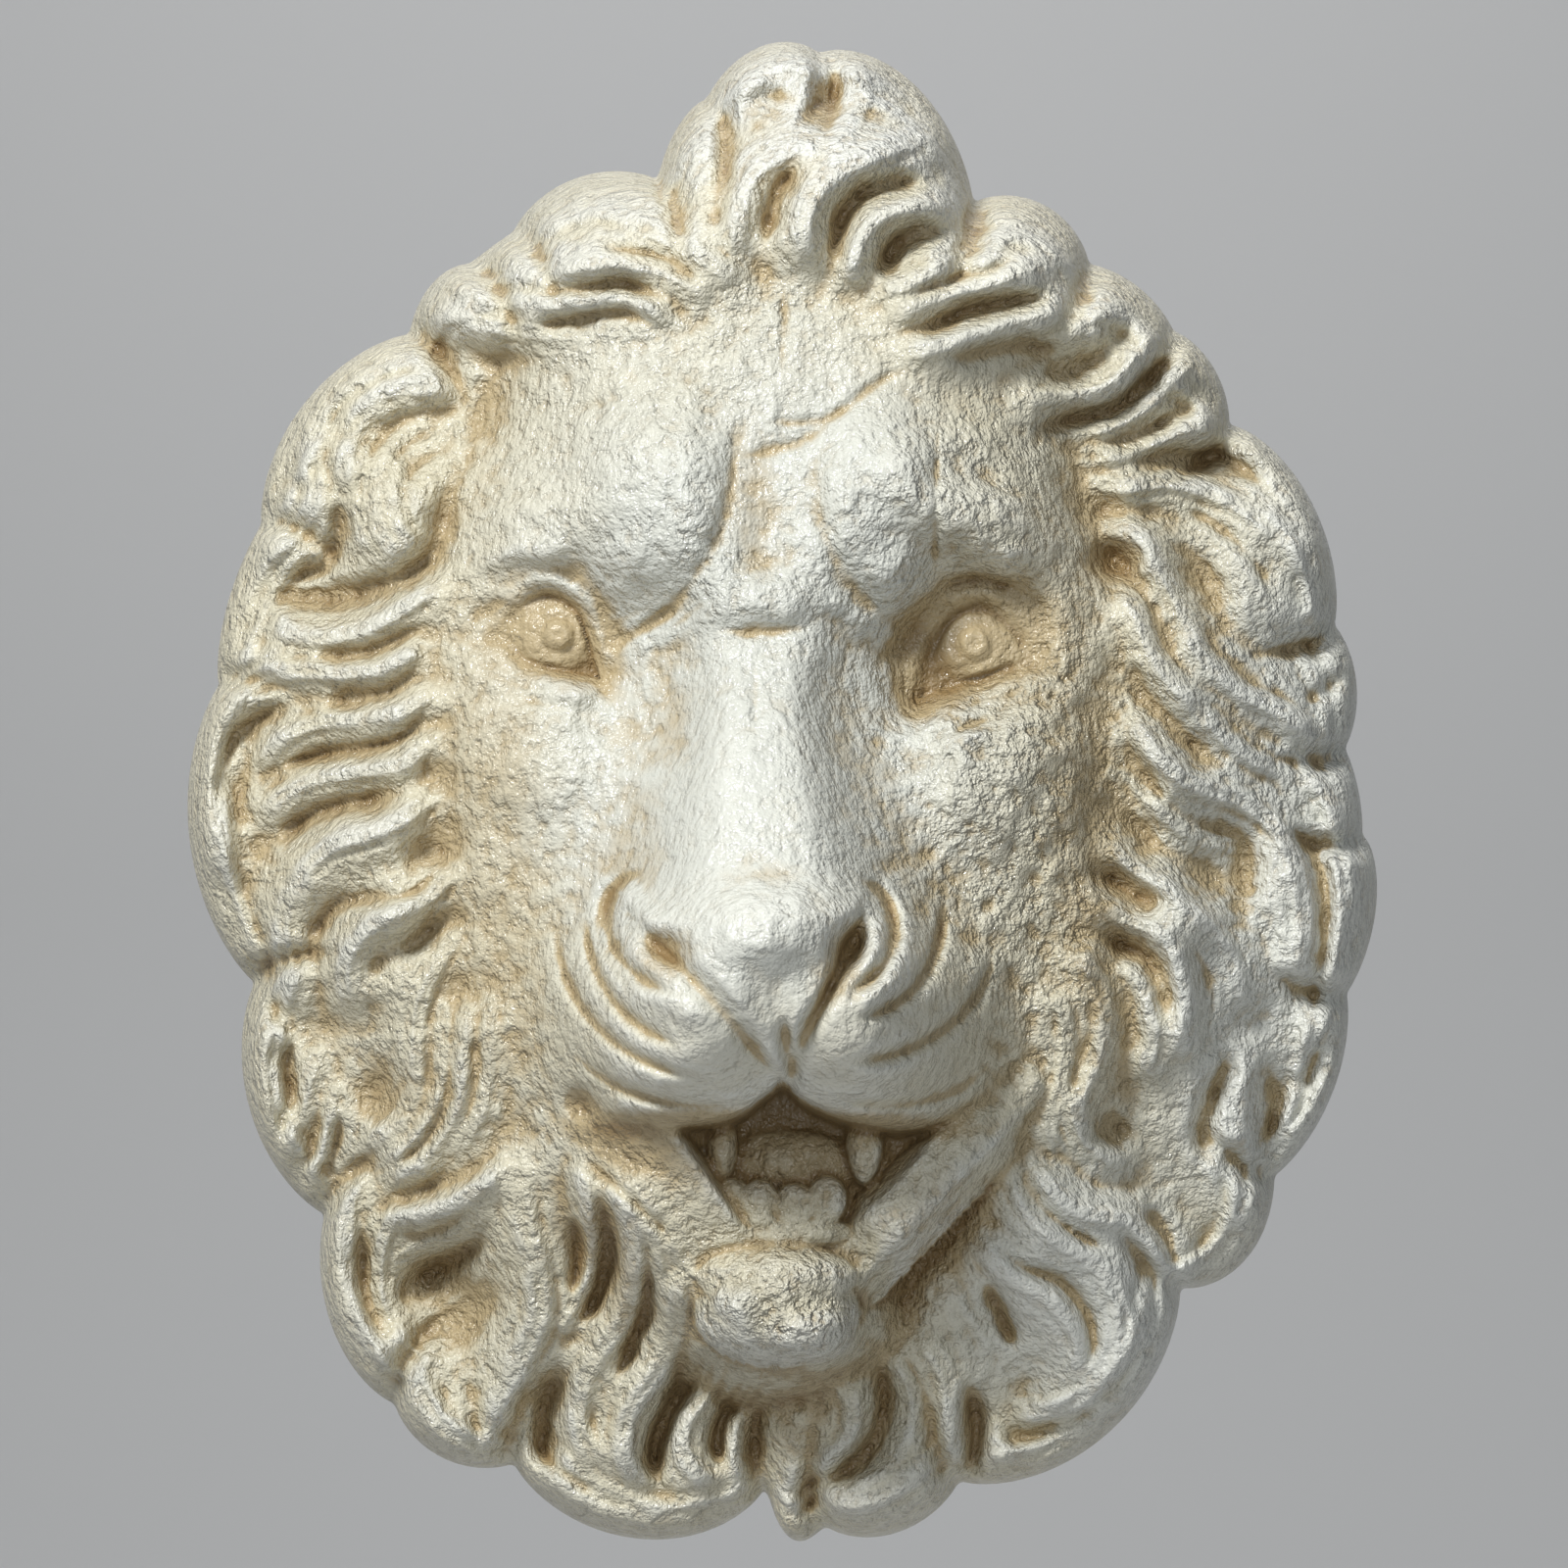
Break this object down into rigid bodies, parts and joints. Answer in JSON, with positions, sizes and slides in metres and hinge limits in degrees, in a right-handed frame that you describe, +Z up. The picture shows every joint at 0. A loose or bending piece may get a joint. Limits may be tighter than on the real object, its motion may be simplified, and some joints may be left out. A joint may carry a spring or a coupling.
{
  "type": "lion head wall plaque",
  "caption": "Cast wall plaque in the form of a roaring lion's head with a full curled mane, open mouth and flat back, painted ivory with an antique wash.",
  "frame": {"origin": "on the flat back, where it meets the wall, at the middle of the outline", "axes": "+Z up along the plaque's height, +Y out of the back into the wall, -Y out of the wall along the lion's nose, +X to the viewer's right"},
  "size_m": [0.3394, 0.172, 0.4285],
  "materials": {
    "painted_casting": "satin"
  },
  "bodies": {
    "root": {"lion_head": "painted_casting"}
  },
  "joints": []
}
